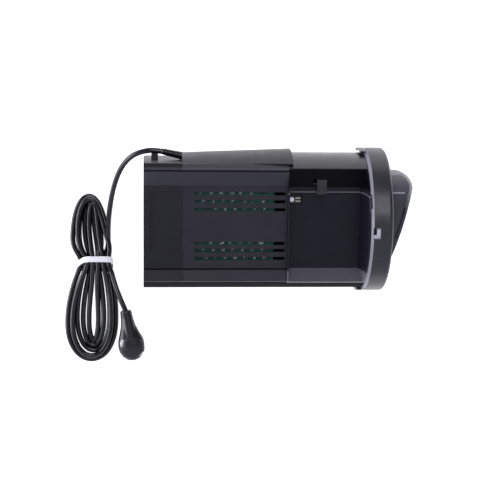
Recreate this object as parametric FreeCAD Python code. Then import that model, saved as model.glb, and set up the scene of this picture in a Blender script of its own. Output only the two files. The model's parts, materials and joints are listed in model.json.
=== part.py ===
"""Wave maker pump lying on its feet, with its mains lead tied in a hank behind it.

Millimetres. +X runs along the body towards the outlet, +Z is up, and Z = 0 is the surface
that the feet stand on. The body's axis is parallel to X at y = 0, z = AXIS_Z.
"""
import FreeCAD, Part
import math
import os

V = FreeCAD.Vector

# Body
AXIS_Z = 99.0
BODY_R = 92.0
WALL = 3.0
CAP_X = -179.2
SHELL_X = -173.7
SPLIT_X = 9.0
FRONT_X = 112.0
SPIGOT_X = 127.0
SPIGOT_R = 90.2
WET_R = 88.5
SIDE_FLAT_Y = 79.0
# The front section is a little flatter on this side: by how much, and at what angle from +Y
SINK = 3.3
SINK_ANGLE = -40.0

# Troughs in the top of the body: (y, height above the axis) of rims and feet
CHANNEL = dict(rim_neg=(-74.8, 53.6), foot_neg=(-60.0, 44.0), foot_pos=(49.5, 44.0), rim_pos=(70.5, 59.1))
POCKET = dict(rim_neg=(-76.0, 51.9), foot_neg=(-61.5, 33.0), foot_pos=(39.5, 33.0), rim_pos=(73.6, 55.2))
POCKET_X0 = 10.7
POCKET_END_X = 105.0
POCKET_END_TOP_X = 110.0
POCKET_TOP = 57.0
BULKHEAD_TOP = 55.0
LEDGE = ((40.5, 38.0), (47.4, 38.0))
LATCH_H = (38.7, 44.7)
SLOT_YS = (39.5, 29.0, 18.5, -26.3, -35.6, -46.2)
SLOT_X0 = -112.5
SLOT_W = 4.2

# Lock ring and outlet
RING_R = 96.0
RING_X0 = 112.3
RING_X1 = 141.0
RING_BORE_R = 90.6
RING_CHAMFER = (3.4, 4.2)
LIP_R = 74.0
LIP_X0 = 134.3
GROOVE_R = 93.4
GROOVE_X = (114.6, 125.4)
LUG_R = 93.0
LUG_X = (115.0, 124.6)
LUG_ANGLE = 9.0
LUG_CENTRES = (93.0, 213.0, 333.0)
RING_TWIST = 25.0
NOZZLE_FLANGE_R = 88.0
NOZZLE_FLANGE_X = (128.9, 133.9)
NOZZLE_R = 72.0
NOZZLE_WALL = 3.0
HOOD_X = 141.0
HOOD_Y = 43.5
HOOD_MID = 157.5
HOOD_R = 22.2
HOOD_H = 58.0
HOOD_LIMIT_R = 69.0
CREASE_W = 1.8
# The outlet's curved face: x at y 0 and axis height, radius, turn there, and how x shrinks with height
FACE_X = 173.7
FACE_R = 374.0
FACE_TURN = 15.6
FACE_LEAN = 0.236

# Screws of the end cap: (y, height above the axis)
CAP_SCREWS = [(41.0, 37.5), (-36.0, 37.5), (62.0, -60.0), (-62.0, -60.0)]
HEAD_SEAT = 2.4

# Motor
SHAFT_R = 4.0
BUSH_BORE_R = 4.03
MAGNET_R = 12.4
CAN_R = (13.4, 14.6)
CASE_R = (27.5, 29.5)
CASE_X = (12.0, 96.0)
CORE_X = (28.0, 78.0)
IMPELLER_R = 80.0
IMPELLER_X = (114.5, 127.3)
BLADES = 5

# Electronics
BOARD_Z = 33.0
BOARD_T = 1.6
BOARD = (-122.0, -8.0, -57.0, 49.5)

# Feet
FOOT_X = ((-160.0, -138.0), (82.0, 104.0))
FOOT_HALF_Y = 52.0
PAD_H = 4.0

# Mains lead
CORD_D = 7.3
CORD_R = CORD_D / 2
GLAND_START = V(-129.0, 84.0, AXIS_Z)
GLAND_END = V(-146.5, 88.1, AXIS_Z)
LEAD_ROUTE = [
    (-146.5, 88.1, 99.0), (-163.5, 91.6, 99.0), (-181.0, 89.4, 95.2), (-197.5, 81.0, 87.0),
    (-210.5, 63.0, 71.5), (-219.5, 37.5, 51.5), (-225.0, 8.5, 31.0), (-228.2, -20.0, 16.5),
    (-228.6, -45.0, 9.5), (-226.5, -68.0, 8.0),
]
TAIL_ROUTE = [
    (-225.0, -82.0, 9.0), (-220.5, -96.5, 13.0), (-215.3, -110.5, 18.8), (-209.6, -126.0, 23.8),
    (-204.3, -142.0, 26.3),
]
HANK_H = 16.0
HANK_LIFT = 1.5
TIE_Y = (-90.0, -62.0)
TIE_T = 1.3
TIE_W = 8.0
HANK_OUTLINE = [
    (-251.0, 21.0), (-268.0, 14.0), (-276.5, -10.0), (-277.5, -38.0), (-265.0, -62.0), (-265.0, -90.0),
    (-283.0, -122.0), (-291.5, -160.0), (-285.0, -198.0), (-268.0, -219.0), (-248.0, -223.0),
    (-228.0, -213.0), (-215.5, -192.0), (-214.5, -162.0), (-223.0, -122.0), (-223.0, -90.0),
    (-223.0, -62.0), (-232.5, -44.0), (-233.0, -8.0), (-238.0, 12.0),
]
PLUG_FACE = V(-196.5, -190.0, 20.7)
PLUG_TILT = 8.0
PLUG_TURN = 61.0
PLUG_ROLL = 16.0
PLUG_R = 19.0
PLUG_BACK_R = 12.5
PLUG_RIM = 4.0
PLUG_DEPTH = 19.0
CLIP_W = 6.0
PIN_R = 2.4
PIN_LENGTH = 19.0
NECK_ANGLE = 39.0
NECK_R = (10.6, 7.4)


# Small shape helpers. Heights in profiles are measured from the body's axis.

def box(x0, x1, y0, y1, z0, z1):
    return Part.makeBox(x1 - x0, y1 - y0, z1 - z0, V(x0, y0, z0))


def body_box(x0, x1, y0, y1, h0, h1):
    return box(x0, x1, y0, y1, AXIS_Z + h0, AXIS_Z + h1)


def cyl_x(r, x0, x1, y=0.0, h=0.0):
    return Part.makeCylinder(r, x1 - x0, V(x0, y, AXIS_Z + h), V(1, 0, 0))


def cone_x(r0, r1, x0, x1):
    return Part.makeCone(r0, r1, x1 - x0, V(x0, 0, AXIS_Z), V(1, 0, 0))


def tube_x(r_in, r_out, x0, x1):
    return cyl_x(r_out, x0, x1).cut(cyl_x(r_in, x0 - 1, x1 + 1))


def prism_x(profile, x0, x1):
    points = [V(x0, y, AXIS_Z + h) for y, h in profile]
    return Part.Face(Part.makePolygon(points + points[:1])).extrude(V(x1 - x0, 0, 0))


def fuse(shapes):
    shapes = list(shapes)
    return shapes[0].multiFuse(shapes[1:]) if len(shapes) > 1 else shapes[0]


def sector_x(angle0, angle1, radius, x0, x1):
    """A wedge about the axis, from angle0 to angle1 in degrees from +Y towards +Z."""
    steps = 6
    span = [math.radians(angle0 + (angle1 - angle0) * i / steps) for i in range(steps + 1)]
    return prism_x([(0.0, 0.0)] + [(radius * math.cos(a), radius * math.sin(a)) for a in span], x0, x1)


def front_round(radius, x0, x1):
    """The front section's outline: a cylinder, a little flatter on one side."""
    angle = math.radians(SINK_ANGLE)
    start = V(x0, -SINK * math.cos(angle), AXIS_Z - SINK * math.sin(angle))
    return cyl_x(radius, x0, x1).common(Part.makeCylinder(radius, x1 - x0, start, V(1, 0, 0)))


def save(name, shape):
    shape.exportStep("parts/" + name + ".step")


# Troughs

def grow_wall(foot, rim, grow, side):
    """Two points of a trough's wall moved outwards by grow: at the grown floor, and far above."""
    dy, dh = rim[0] - foot[0], rim[1] - foot[1]
    length = math.hypot(dy, dh)
    ny, nh = side * abs(dh) / length, -abs(dy) / length
    y, h = foot[0] + ny * grow, foot[1] + nh * grow
    down = (foot[1] - grow - h) / dh
    low = (y + dy * down, foot[1] - grow)
    return low, (y + dy * 3.0, h + dh * 3.0)


def trough_profile(trough, grow=0.0):
    low_neg, top_neg = grow_wall(trough["foot_neg"], trough["rim_neg"], grow, -1)
    low_pos, top_pos = grow_wall(trough["foot_pos"], trough["rim_pos"], grow, 1)
    return [low_neg, low_pos, top_pos, (top_pos[0], 120.0), (top_neg[0], 120.0), top_neg]


def pocket_space(grow=0.0):
    """The bracket pocket with its sloped front wall, grown outwards by grow."""
    space = prism_x(trough_profile(POCKET, grow), POCKET_X0 - grow, POCKET_END_TOP_X + grow)
    slope = (POCKET_END_TOP_X - POCKET_END_X) / (POCKET_TOP - POCKET["foot_pos"][1])
    foot = POCKET["foot_pos"][1]
    x_low = POCKET_END_X + grow - slope * 10.0
    x_high = POCKET_END_X + grow + slope * 100.0
    corners = [V(x_low, -120, AXIS_Z + foot - 10.0), V(FRONT_X + 30.0, -120, AXIS_Z + foot - 10.0),
               V(FRONT_X + 30.0, -120, AXIS_Z + foot + 100.0), V(x_high, -120, AXIS_Z + foot + 100.0)]
    end = Part.Face(Part.makePolygon(corners + corners[:1])).extrude(V(0, 240, 0))
    return space.cut(end)


def side_cut(y):
    return body_box(-300, SPLIT_X, y, 120, -120, 120)


# Housing

def rear_section(x0, x1, radius, grow):
    section = cyl_x(radius, x0, x1)
    section = section.cut(prism_x(trough_profile(CHANNEL, grow), x0 - 1, x1 + 1))
    return section.cut(side_cut(SIDE_FLAT_Y - grow))


def board_posts():
    return [(x, y) for x in (-116.0, -14.0) for y in (45.0, -53.0)]


def rear_shell():
    shell = rear_section(SHELL_X, SPLIT_X, BODY_R, 0.0)
    hollow = rear_section(SHELL_X - 1, SPLIT_X + 1, BODY_R - WALL, WALL)
    shell = shell.cut(hollow)
    floor = CHANNEL["foot_pos"][1]
    for y in SLOT_YS:
        shell = shell.cut(body_box(SLOT_X0, SPLIT_X - 3.0, y - SLOT_W / 2, y + SLOT_W / 2, floor - 4, floor + 1))
    shell = shell.cut(body_box(SHELL_X + 3.0, -127.0, -36.0, 42.0, floor - 1.2, floor + 1))
    shell = shell.cut(body_box(-124.0, -94.0, SIDE_FLAT_Y - 5, SIDE_FLAT_Y + 1, -10, 12))
    posts = [Part.makeCylinder(3.5, 6.6, V(x, y, AXIS_Z + BOARD_Z + BOARD_T)) for x, y in board_posts()]
    shell = fuse([shell] + posts + cap_screw_bosses(4.5))
    return shell.cut(fuse(cap_screw_bosses(1.4)))


def cap_screw_bosses(radius):
    return [cyl_x(radius, SHELL_X, SHELL_X + 14.0, y, h) for y, h in CAP_SCREWS]


def end_cap():
    plate = rear_section(CAP_X, SHELL_X, BODY_R, 0.0)
    lip = rear_section(SHELL_X, SHELL_X + 4.0, BODY_R - WALL - 0.2, WALL + 0.2)
    lip = lip.cut(rear_section(SHELL_X - 1, SHELL_X + 5.0, BODY_R - 5.2, 5.2))
    holes = [cyl_x(1.8, CAP_X - 1, SHELL_X + 1, y, h).fuse(cyl_x(3.6, CAP_X - 1, CAP_X + HEAD_SEAT, y, h))
             for y, h in CAP_SCREWS]
    clear = [cyl_x(5.0, SHELL_X, SHELL_X + 15, y, h) for y, h in CAP_SCREWS]
    return plate.fuse(lip.cut(fuse(clear))).cut(fuse(holes))


def cap_screws():
    return Part.makeCompound([
        cyl_x(3.2, CAP_X + 0.4, CAP_X + HEAD_SEAT, y, h).fuse(cyl_x(1.4, CAP_X + HEAD_SEAT, SHELL_X + 11.0, y, h))
        for y, h in CAP_SCREWS])


COVER_X = (-129.0, 15.0)
COVER_R = (88.4, 94.0)


def side_cover():
    x0, x1 = COVER_X
    r0, r1 = COVER_R
    outer = cone_x(r0, r1, x0, x1)
    inner = cone_x(r0 - 2.5, r1 - 2.5, x0, x1).common(body_box(x0 + 2.5, SPLIT_X, -120, 120, -120, 120))
    front_land = front_round(BODY_R + 0.2, SPLIT_X, x1 + 1)
    cover = outer.cut(inner).cut(front_land)
    cover = cover.common(body_box(x0, x1, SIDE_FLAT_Y, 120, -120, 120))
    return cover.cut(cyl_x(CORD_R, x0 - 5, x0 + 5, GLAND_START.y, 0.0))


def front_housing():
    housing = front_round(BODY_R, SPLIT_X, FRONT_X).fuse(cyl_x(SPIGOT_R, FRONT_X, SPIGOT_X))
    hollow = front_round(WET_R, SPLIT_X + WALL, SPIGOT_X + 1).cut(pocket_space(WALL))
    housing = housing.cut(pocket_space()).cut(hollow).fuse(pocket_ledge())
    housing = housing.cut(body_box(SPLIT_X - 1, POCKET_X0 + 1, -120, 120, BULKHEAD_TOP, 120))
    housing = housing.cut(cyl_x(8.0, SPLIT_X - 1, SPLIT_X + WALL + 1))
    housing = housing.cut(latch_slot()).cut(contact_recess()).cut(intake_window())
    return housing.cut(fuse(case_screw_cylinders(1.7, SPLIT_X - 1, SPLIT_X + WALL + 1)))


def pocket_ledge():
    """A low step along the foot of the pocket's +Y wall."""
    (y0, h), (y1, _) = LEDGE
    profile = [(y0, POCKET["foot_pos"][1] - 1.0), (y0, h), (y1, h), (y1, h - 2.0)]
    return prism_x(profile, POCKET_X0 - 0.5, POCKET_END_X + 0.5)


def latch_slot():
    return body_box(42.4, 60.6, 37.9, 78.0, LATCH_H[0] - 0.4, LATCH_H[1] + 0.6)


def contact_recess():
    return body_box(POCKET_X0, 28.5, 23.5, 36.0, 26.0, 34.0)


def contact_block():
    return body_box(SPLIT_X + WALL, 28.5, 23.5, 36.0, 22.0, 29.0)


def contact_screw():
    head = Part.makeCylinder(3.2, 2.4, V(15.6, 30.2, AXIS_Z + 29.0))
    return head.cut(body_box(10, 20, 29.8, 30.6, 30.4, 32))


def contact_strips():
    return Part.makeCompound([body_box(20.5, 27.0, y - 0.9, y + 0.9, 29.0, 30.2) for y in (32.0, 28.0)])


INTAKE_X = (20.0, 76.0)
INTAKE_Y = 38.0


def intake_window():
    return body_box(INTAKE_X[0], INTAKE_X[1], -INTAKE_Y, INTAKE_Y, -120, -60)


def intake_grille():
    plate = front_round(BODY_R, *INTAKE_X).cut(front_round(WET_R, INTAKE_X[0] - 1, INTAKE_X[1] + 1))
    plate = plate.common(intake_window())
    for i in range(5):
        x = INTAKE_X[0] + 5.0 + i * 10.0
        for y0, y1 in ((-33.0, -2.5), (2.5, 33.0)):
            plate = plate.cut(body_box(x, x + 6.0, y0, y1, -120, -60))
    return plate


def case_screw_places():
    return [(78.0 * math.cos(math.radians(a)), 78.0 * math.sin(math.radians(a))) for a in (30, 190, 235, 305)]


def case_screw_cylinders(radius, x0, x1):
    return [cyl_x(radius, x0, x1, y, h) for y, h in case_screw_places()]


def case_screws():
    heads = case_screw_cylinders(3.4, SPLIT_X + WALL, SPLIT_X + WALL + 2.5)
    shanks = case_screw_cylinders(1.7, SPLIT_X - 14.0, SPLIT_X + WALL)
    return Part.makeCompound([head.fuse(shank) for head, shank in zip(heads, shanks)])


def case_bosses():
    """Four posts for the case screws, on a ring inside the mouth of the rear shell."""
    posts = fuse(case_screw_cylinders(5.0, SPLIT_X - 18.0, SPLIT_X))
    ring = tube_x(82.0, BODY_R - WALL, SPLIT_X - 18.0, SPLIT_X - 2.0)
    ring = ring.cut(prism_x(trough_profile(CHANNEL, WALL), SPLIT_X - 30, SPLIT_X + 1))
    ring = ring.cut(side_cut(SIDE_FLAT_Y - WALL))
    posts = posts.common(rear_section(SPLIT_X - 30, SPLIT_X + 1, BODY_R - WALL, WALL))
    return ring.fuse(posts).cut(fuse(case_screw_cylinders(1.7, SPLIT_X - 14.0, SPLIT_X + 1)))


def housing_seal():
    ring = tube_x(86.0, BODY_R - WALL, SPLIT_X - 2.0, SPLIT_X)
    ring = ring.cut(prism_x(trough_profile(CHANNEL, WALL), SPLIT_X - 30, SPLIT_X + 1))
    ring = ring.cut(side_cut(SIDE_FLAT_Y - WALL))
    return ring.cut(fuse(case_screw_cylinders(5.0, SPLIT_X - 18.0, SPLIT_X + 1)))


def feet(index):
    x0, x1 = FOOT_X[index]
    foot = box(x0, x1, -FOOT_HALF_Y, FOOT_HALF_Y, PAD_H, AXIS_Z - 60.0)
    body = front_round if index else cyl_x
    return foot.cut(body(BODY_R, x0 - 1, x1 + 1))


def foot_pads():
    pads = []
    for x0, x1 in FOOT_X:
        for side in (-1, 1):
            pad = box(x0 + 1, x1 - 1, side * 40 - 10, side * 40 + 10, 0, PAD_H)
            pads.append(pad.makeFillet(1.2, [e for e in pad.Edges if e.BoundBox.ZMax < 0.01]))
    return Part.makeCompound(pads)


# Bayonet, lock ring and outlet

def lug_arc(r_in, r_out, extra0, extra1, x0, x1):
    arcs = []
    for centre in LUG_CENTRES:
        wedge = sector_x(centre - LUG_ANGLE / 2 - extra0, centre + LUG_ANGLE / 2 + extra1, 130.0, x0, x1)
        arcs.append(tube_x(r_in, r_out, x0, x1).common(wedge))
    return arcs


def bayonet_lugs():
    lugs = lug_arc(SPIGOT_R, LUG_R, 0, 0, *LUG_X)
    centre = LUG_CENTRES[0]
    notch = sector_x(centre - LUG_ANGLE, centre + 1.4, 130.0, LUG_X[0] - 1, LUG_X[0] + 4.6)
    return Part.makeCompound([lugs[0].cut(notch)] + lugs[1:])


def lock_ring():
    ring = cyl_x(RING_R, RING_X0, RING_X1)
    rim = [e for e in ring.Edges if abs(e.BoundBox.XMin - RING_X1) < 0.01 and e.BoundBox.XLength < 0.01]
    ring = ring.makeFillet(5.0, rim)
    back = [e for e in ring.Edges if abs(e.BoundBox.XMax - RING_X0) < 0.01 and e.BoundBox.XLength < 0.01]
    ring = ring.makeChamfer(*RING_CHAMFER, back)
    ring = ring.cut(cyl_x(RING_BORE_R, RING_X0 - 1, LIP_X0)).cut(cyl_x(LIP_R, LIP_X0 - 1, RING_X1 + 1))
    for groove in lug_arc(RING_BORE_R - 0.5, GROOVE_R, RING_TWIST + 1.5, 1.5, *GROOVE_X):
        ring = ring.cut(groove)
    for entry in lug_arc(RING_BORE_R - 0.5, GROOVE_R, RING_TWIST + 1.5, 1.0 - RING_TWIST, RING_X0 - 1, GROOVE_X[1]):
        ring = ring.cut(entry)
    centre = LUG_CENTRES[0]
    window = tube_x(GROOVE_R - 1, RING_R + 1, *LUG_X).common(
        sector_x(centre - LUG_ANGLE / 2, centre + LUG_ANGLE / 2 - 0.3, 130.0, *LUG_X))
    tabs = [tube_x(92.5, RING_R, RING_X0 - 6.0, RING_X0 + 1.0).common(
        sector_x(a - 13.0, a + 13.0, 130.0, RING_X0 - 7.0, RING_X0 + 2.0)) for a in (0.0, 180.0)]
    return fuse([ring.cut(window)] + tabs)


def seal_ring():
    return tube_x(84.5, 88.2, SPIGOT_X, SPIGOT_X + 1.5)


def hood_end(inset):
    """Half an ellipse standing across the hood, from its roof round its tip to its underside."""
    centre = V(HOOD_MID, HOOD_Y, AXIS_Z)
    ellipse = Part.Ellipse(centre + V(0, 0, HOOD_H - inset), centre + V(HOOD_R - inset, 0, 0), centre)
    half = Part.Arc(ellipse, -math.pi / 2, math.pi / 2).toShape()
    if half.CenterOfMass.x < HOOD_MID or abs(half.CenterOfMass.z - AXIS_Z) > 1:
        half = Part.Arc(ellipse, 0.0, math.pi).toShape()
    ends = [vertex.Point for vertex in half.Vertexes]
    return Part.Face(Part.Wire([half, Part.LineSegment(ends[-1], ends[0]).toShape()]))


def face_point(y, back):
    """A point at axis height on the outlet's curved face, or on a face the given distance behind it."""
    centre_x = FACE_X - FACE_R * math.cos(math.radians(FACE_TURN))
    centre_y = FACE_R * math.sin(math.radians(FACE_TURN))
    radius = FACE_R - back
    return centre_x + math.sqrt(radius * radius - (y - centre_y) ** 2), y


def beyond_face(back):
    """All that lies outside the curved face, or outside a face the given distance behind it."""
    low = AXIS_Z - 100.0
    first, middle, last = [V(x + FACE_LEAN * 100.0, y, low) for x, y in
                           [face_point(y, back) for y in (-150.0, -30.0, 90.0)]]
    edges = [Part.Arc(first, middle, last).toShape()]
    corners = [last, V(330.0, 90.0, low), V(330.0, -150.0, low), first]
    edges += [Part.LineSegment(a, b).toShape() for a, b in zip(corners, corners[1:])]
    return Part.Face(Part.Wire(edges)).extrude(V(-FACE_LEAN * 200.0, 0, 200.0))


def hood_solid(inset):
    """The outlet hood: level roof, rounded tip, a rounded crown at HOOD_Y and a curved face below."""
    end = hood_end(inset)
    crown = end.revolve(V(HOOD_MID, HOOD_Y, AXIS_Z), V(0, 0, 1), 90.0)
    shoulder = end.rotated(V(HOOD_MID, HOOD_Y, AXIS_Z), V(0, 0, 1), 90.0).extrude(V(HOOD_X - HOOD_MID, 0, 0))
    tip = end.extrude(V(0, -140.0, 0))
    block = Part.makeBox(HOOD_MID - HOOD_X, 140.0, 2 * (HOOD_H - inset),
                         V(HOOD_X, HOOD_Y - 140.0, AXIS_Z - HOOD_H + inset))
    hood = fuse([crown, shoulder, tip, block]).removeSplitter()
    return hood.common(cyl_x(HOOD_LIMIT_R - inset, 128.0, 200.0)).cut(beyond_face(inset)).toNurbs()


def crease_rib():
    """A low rib across the hood's roof, where its crown begins."""
    rib = body_box(HOOD_X - 1.0, HOOD_MID + 4.0, HOOD_Y - CREASE_W, HOOD_Y, HOOD_H - 2.0, HOOD_H + 0.9)
    return rib.common(cyl_x(HOOD_LIMIT_R + 0.8, 128.0, 200.0)).cut(beyond_face(0.0))


def outlet_mouth():
    """The opening in the slanted face."""
    mouth = body_box(145.0, 200.0, -44.0, 24.0, -36.0, 36.0)
    return mouth.makeFillet(12.0, [e for e in mouth.Edges if e.BoundBox.XLength > 50])


def roof_slot():
    """A slot through the hood's roof, just behind the slanted face."""
    strip = beyond_face(5.9).cut(beyond_face(3.2))
    return strip.common(body_box(100.0, 200.0, -18.0, 24.0, 37.0, 80.0))


def duct():
    """The water's way through the flange and the collar into the hood."""
    reach = HOOD_LIMIT_R - 4.0
    way = cyl_x(reach, NOZZLE_FLANGE_X[0] - 1, HOOD_X + 1)
    return way.common(body_box(120.0, 150.0, -reach, reach, NOZZLE_WALL - HOOD_H, HOOD_H - NOZZLE_WALL))


def outlet_nozzle():
    flange = tube_x(NOZZLE_R - NOZZLE_WALL, NOZZLE_FLANGE_R, *NOZZLE_FLANGE_X)
    collar = tube_x(NOZZLE_R - NOZZLE_WALL, NOZZLE_R, NOZZLE_FLANGE_X[0], HOOD_X + 1.5)
    face_plate = cyl_x(NOZZLE_R, HOOD_X - 1.5, HOOD_X + 1.5).cut(duct())
    nozzle = fuse([flange, collar, hood_solid(0.0), crease_rib(), face_plate])
    return nozzle.cut(hood_solid(NOZZLE_WALL)).cut(duct()).cut(outlet_mouth()).cut(roof_slot())


def outlet_grille():
    """Level bars across the outlet mouth, standing on the hood's inner face."""
    layer = beyond_face(6.6).cut(beyond_face(NOZZLE_WALL))
    bars = [layer.common(body_box(100.0, 200.0, -52.0, 32.0, h - 1.2, h + 1.2)) for h in (-24.0, -12.0, 0.0, 12.0, 24.0)]
    return Part.makeCompound([bar.common(hood_solid(NOZZLE_WALL)) for bar in bars])


# Motor

def motor_case():
    case = tube_x(CASE_R[0], CASE_R[1], *CASE_X)
    base = tube_x(8.0, CASE_R[1], CASE_X[0], CASE_X[0] + 2.0)
    return case.fuse(base)


def motor_cover():
    cover = tube_x(CAN_R[1], CASE_R[1], CASE_X[1], CASE_X[1] + 4.0)
    return cover.fuse(tube_x(CAN_R[1], 20.0, CASE_X[1] + 4.0, CASE_X[1] + 8.0))


def rotor_can():
    return tube_x(CAN_R[0], CAN_R[1], 18.0, CASE_X[1] + 8.0).fuse(cyl_x(CAN_R[1], 16.5, 18.0))


def stator_core():
    core = tube_x(CAN_R[1] + 0.2, CASE_R[0], *CORE_X)
    slots = [cyl_x(2.2, CORE_X[0] - 1, CORE_X[1] + 1, 20 * math.cos(a), 20 * math.sin(a))
             for a in [math.radians(30 + 60 * i) for i in range(6)]]
    return core.cut(fuse(slots))


def stator_windings():
    ends = [tube_x(15.6, 26.0, CORE_X[0] - 7.0, CORE_X[0]), tube_x(15.6, 26.0, CORE_X[1], CORE_X[1] + 7.0)]
    rounded = []
    for end, x in zip(ends, (CORE_X[0] - 7.0, CORE_X[1] + 7.0)):
        edges = [e for e in end.Edges if e.BoundBox.XLength < 0.01 and abs(e.BoundBox.XMin - x) < 0.01]
        rounded.append(end.makeFillet(2.0, edges))
    bars = [cyl_x(2.2, CORE_X[0], CORE_X[1], 20 * math.cos(a), 20 * math.sin(a))
            for a in [math.radians(30 + 60 * i) for i in range(6)]]
    return fuse(rounded + bars)


def bush(x0, x1):
    return tube_x(BUSH_BORE_R, CAN_R[0], x0, x1)


def rotor_shaft():
    return cyl_x(SHAFT_R, 19.0, IMPELLER_X[1] + 4.0)


def rotor_magnet():
    return tube_x(SHAFT_R, MAGNET_R, 27.0, 92.0)


def impeller():
    x0, x1 = IMPELLER_X
    hub = tube_x(SHAFT_R, 13.0, x0, x1)
    hub = hub.makeFillet(3.0, [e for e in hub.Edges if abs(e.BoundBox.XMin - x1) < 0.01 and e.BoundBox.YLength > 20])
    blades = []
    middle = (x0 + x1) / 2
    for i in range(BLADES):
        blade = box(middle - 1.2, middle + 1.2, 10.0, IMPELLER_R + 5, -15.0, 15.0)
        blade.rotate(V(middle, 0, 0), V(0, 1, 0), 55.0)
        blade.translate(V(0, 0, AXIS_Z))
        blade.rotate(V(0, 0, AXIS_Z), V(1, 0, 0), 360.0 / BLADES * i)
        blades.append(blade)
    shape = fuse([hub] + blades).common(tube_x(SHAFT_R, IMPELLER_R, x0, x1))
    return shape


def impeller_nut():
    nut = tube_x(SHAFT_R, 7.5, IMPELLER_X[1], IMPELLER_X[1] + 4.0)
    cap = cyl_x(7.5, IMPELLER_X[1] + 4.0, IMPELLER_X[1] + 9.0)
    cap = cap.makeFillet(3.5, [e for e in cap.Edges if abs(e.BoundBox.XMin - IMPELLER_X[1] - 9.0) < 0.01])
    return nut.fuse(cap)


def wire_grommet():
    ring = tube_x(5.0, 8.0, SPLIT_X, SPLIT_X + WALL)
    return ring.fuse(tube_x(5.0, 10.0, SPLIT_X - 2.0, SPLIT_X))


def motor_leads():
    return Part.makeCompound([cyl_x(1.3, -4.0, 15.8, y, h) for y, h in ((-2.6, -1.5), (2.6, -1.5), (0.0, 2.8))])


# Electronics

def circuit_board():
    x0, x1, y0, y1 = BOARD
    board = body_box(x0, x1, y0, y1, BOARD_Z, BOARD_Z + BOARD_T)
    return board.cut(fuse(Part.makeCylinder(1.3, 6, V(x, y, AXIS_Z + BOARD_Z - 2)) for x, y in board_posts()))


def board_screws():
    screws = []
    for x, y in board_posts():
        head = Part.makeCylinder(2.6, 2.0, V(x, y, AXIS_Z + BOARD_Z - 2.0))
        screws.append(head.fuse(Part.makeCylinder(1.3, BOARD_T, V(x, y, AXIS_Z + BOARD_Z))))
    return Part.makeCompound(screws)


def board_chips():
    """Small surface parts in rows under the vent slots."""
    top = BOARD_Z + BOARD_T
    chips = []
    for row, y in enumerate(SLOT_YS):
        for i in range(7):
            x = -106.0 + i * 13.0 + (row % 3) * 3.0
            size = 3.0 + (i * 5 + row * 3) % 4
            chips.append(body_box(x, x + size, y - 1.8, y + 1.8, top, top + 1.2 + (i + row) % 3 * 0.7))
    return Part.makeCompound(chips)


def capacitors():
    cans = []
    for x, y in ((-92.0, 26.0), (-92.0, -30.0), (-64.0, -30.0)):
        can = Part.makeCylinder(10.0, 34.0, V(x, y, AXIS_Z + BOARD_Z - 34.0))
        cans.append(can.makeFillet(1.5, [e for e in can.Edges if abs(e.BoundBox.ZMax - (AXIS_Z + BOARD_Z - 34.0)) < 0.01]))
    return Part.makeCompound(cans)


def transformer():
    core = body_box(-62.0, -26.0, 6.0, 40.0, BOARD_Z - 32.0, BOARD_Z)
    coil = body_box(-56.0, -32.0, 1.0, 45.0, BOARD_Z - 28.0, BOARD_Z - 4.0)
    return core.fuse(coil)


def terminal_block():
    return body_box(-16.0, -4.0, -16.0, 16.0, -9.0, 9.0)


def board_cable():
    return body_box(-12.0, -10.8, -12.0, 12.0, 9.0, BOARD_Z)


# Latch and cord fittings

def latch_tab():
    tab = body_box(47.0, 60.0, 38.6, 70.0, *LATCH_H)
    tab = tab.makeFillet(1.0, [e for e in tab.Edges if e.BoundBox.YMax < 38.7])
    return tab.cut(body_box(49.5, 57.5, 36.0, 47.0, LATCH_H[1] - 1.0, 50.0))


def latch_spring():
    """A bent leaf between the latch's back and the inside of the casing."""
    outline = [(47.9, 70.3), (53.5, 76.3), (59.1, 70.3), (58.2, 70.3), (53.5, 75.3), (48.8, 70.3)]
    points = [V(x, y, AXIS_Z + LATCH_H[0] + 0.8) for x, y in outline]
    return Part.Face(Part.makePolygon(points + points[:1])).extrude(V(0, 0, 4.4))


def cord_clip():
    post = body_box(-169.0, -160.0, SIDE_FLAT_Y, 92.6, -7.0, 4.0)
    seat = cyl_x(CORD_R + 0.3, -175.0, -155.0, 91.2, 0.0)
    slot = body_box(-175.0, -155.0, 91.2 - 4.0, 100.0, -CORD_R - 0.3, 10.0)
    return post.cut(seat).cut(slot)


def cable_gland():
    direction = GLAND_END - GLAND_START
    return Part.makeCone(4.6, 4.0, direction.Length, GLAND_START, direction)


def inner_lead():
    route = [(-129.0, 84.0, AXIS_Z), (-117.0, 82.6, AXIS_Z + 2.0), (-109.0, 72.0, AXIS_Z + 9.0),
             (-107.0, 58.0, AXIS_Z + 18.0), (-106.0, 44.0, AXIS_Z + 24.0), (-106.0, 38.0, AXIS_Z + BOARD_Z)]
    return cord_tube("inner_lead", route, 2.6)


# Cord

def cord_tube(name, route, radius):
    """Straight runs joined by tangent arcs, each arc as large as its two runs allow."""
    points = [V(*p) for p in route]
    edges, start, length, radii = [], points[0], 0.0, []
    for before, corner, after in zip(points, points[1:], points[2:]):
        run_in, run_out = corner - before, after - corner
        half_turn = run_in.getAngle(run_out) / 2
        reach = 0.45 * min(run_in.Length, run_out.Length)
        a = corner - run_in.normalize() * reach
        b = corner + run_out.normalize() * reach
        arc_radius = reach / math.tan(half_turn)
        inward = ((a + b) * 0.5 - corner).normalize()
        centre_distance = math.hypot(arc_radius, reach)
        middle = corner + inward * (centre_distance - arc_radius)
        edges += [Part.LineSegment(start, a).toShape(), Part.Arc(a, middle, b).toShape()]
        radii.append(round(arc_radius, 1))
        start = b
    edges.append(Part.LineSegment(start, points[-1]).toShape())
    length = sum(edge.Length for edge in edges)
    path = Part.Wire(edges)
    circle = Part.Wire(Part.Circle(points[0], points[1] - points[0], radius).toShape())
    tube = path.makePipeShell([circle], True, False)
    ratio = tube.Volume / (math.pi * radius ** 2 * length)
    print(f"{name}: length {length:.1f}, radii {radii}, volume ratio {ratio:.4f}, valid {tube.isValid()}")
    return tube


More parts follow.
